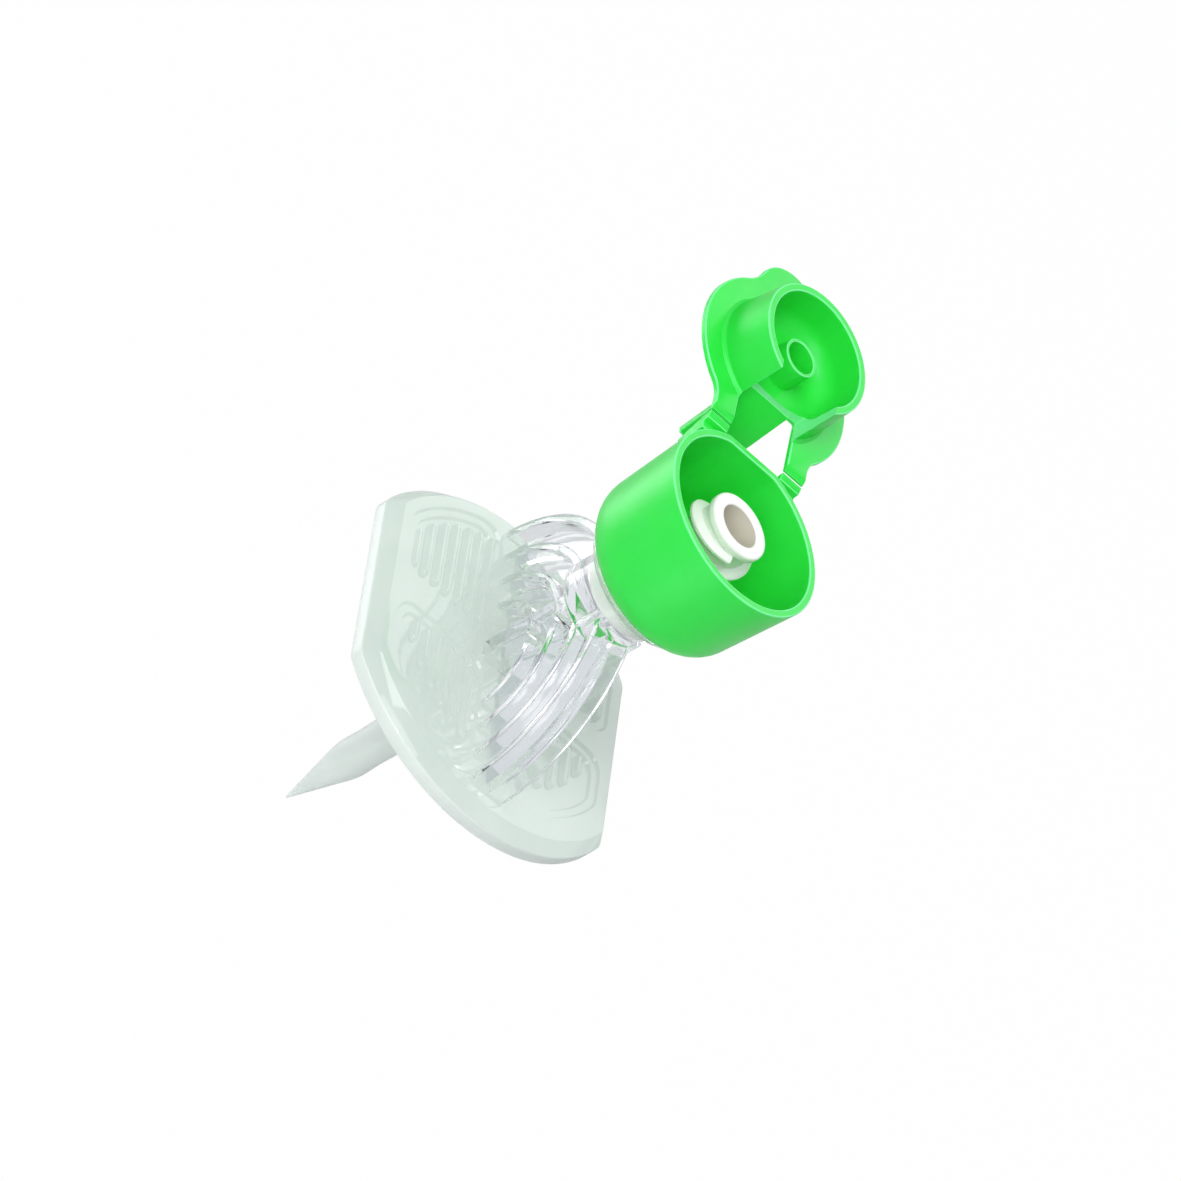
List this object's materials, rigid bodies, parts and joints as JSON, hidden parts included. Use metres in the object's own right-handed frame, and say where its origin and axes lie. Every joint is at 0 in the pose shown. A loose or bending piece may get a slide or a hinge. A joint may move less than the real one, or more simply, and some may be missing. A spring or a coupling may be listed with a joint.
{
  "type": "dispensing spike",
  "caption": "Vented vial spike with a clear ribbed grip and finger plate, a conical syringe port in a green cup, and a flip lid on a film hinge.",
  "frame": {"origin": "on the spike's axis, at the underside of the white base plate", "axes": "+Z along the spike's axis towards the syringe port, +Y towards the lid's hinge, +X across the plate's flats"},
  "size_m": [0.0316, 0.05, 0.065],
  "materials": {
    "white_plastic": "satin",
    "membrane": "matt",
    "clear_plastic": "clear and glossy",
    "port_plastic": "satin gloss",
    "green_plastic": "satin gloss"
  },
  "bodies": {
    "spike_body": {"spike_base": "white_plastic", "air_filter": "membrane", "clear_housing": "clear_plastic", "syringe_port": "port_plastic", "cap_collar": "green_plastic"},
    "lid": {"cap_lid": "green_plastic"}
  },
  "joints": [
    {"name": "lid_hinge", "type": "hinge", "parent": "spike_body", "child": "lid", "pos_m": [0, 0.0096, 0.0329], "axis": [1, 0, 0], "range_deg": [-10, 174.9]}
  ]
}
